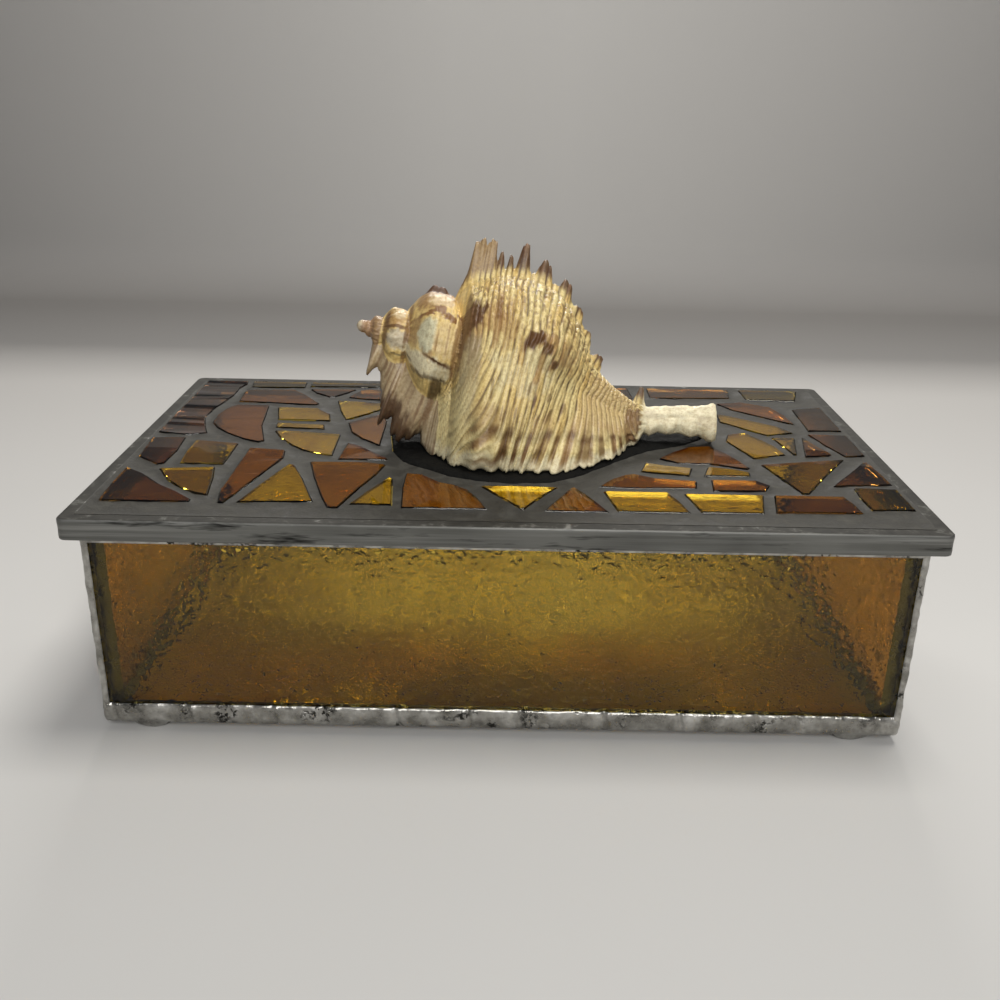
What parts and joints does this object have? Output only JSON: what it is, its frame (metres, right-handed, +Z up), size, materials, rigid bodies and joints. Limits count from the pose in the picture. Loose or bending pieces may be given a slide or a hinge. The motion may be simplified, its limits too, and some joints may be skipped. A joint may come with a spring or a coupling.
{
  "type": "stained glass box",
  "caption": "Low rectangular box of hammered amber glass on solder feet, with a lift-off mosaic lid and a murex shell for its handle.",
  "frame": {"origin": "under the middle of the box, at the level of the feet", "axes": "+X along the box's length to the right, +Y to the back, +Z up through the lid"},
  "size_m": [0.254, 0.1508, 0.1416],
  "materials": {
    "wall_glass": "hammered amber cathedral glass",
    "glass_gold": "yellow cathedral glass, cut edges",
    "glass_amber": "orange-brown cathedral glass, cut edges",
    "glass_brown": "brown cathedral glass, cut edges",
    "solder": "bright tinned solder, rippled",
    "came_metal": "dull grey, drawn lengthways",
    "grout": "dark grey, matt",
    "adhesive": "black, rough",
    "shell": "cream with brown cords"
  },
  "bodies": {
    "root": {"floor_pane": "wall_glass", "grout": "grout", "lid_came": "came_metal", "lid_pane": "wall_glass", "murex_shell": "shell", "shell_bed": "adhesive", "solder_frame": "solder", "tile_01": "glass_brown", "tile_02": "glass_gold", "tile_03": "glass_amber", "tile_04": "glass_gold", "tile_05": "glass_brown", "tile_06": "glass_gold", "tile_07": "glass_amber", "tile_08": "glass_gold", "tile_09": "glass_amber", "tile_10": "glass_gold", "tile_11": "glass_gold", "tile_12": "glass_brown", "tile_13": "glass_gold", "tile_14": "glass_amber", "tile_15": "glass_gold", "tile_16": "glass_brown", "tile_17": "glass_amber", "tile_18": "glass_amber", "tile_19": "glass_gold", "tile_20": "glass_gold", "tile_21": "glass_gold", "tile_22": "glass_brown", "tile_23": "glass_amber", "tile_24": "glass_gold", "tile_25": "glass_amber", "tile_26": "glass_amber", "tile_27": "glass_gold", "tile_28": "glass_gold", "tile_29": "glass_brown", "tile_30": "glass_gold", "tile_31": "glass_amber", "tile_32": "glass_amber", "tile_33": "glass_gold", "tile_34": "glass_gold", "tile_35": "glass_amber", "tile_36": "glass_amber", "tile_37": "glass_brown", "tile_38": "glass_gold", "tile_39": "glass_gold", "tile_40": "glass_gold", "tile_41": "glass_brown", "tile_42": "glass_brown", "tile_43": "glass_brown", "tile_44": "glass_amber", "tile_45": "glass_gold", "tile_46": "glass_brown", "tile_47": "glass_gold", "wall_back": "wall_glass", "wall_front": "wall_glass", "wall_left": "wall_glass", "wall_right": "wall_glass"}
  },
  "joints": []
}
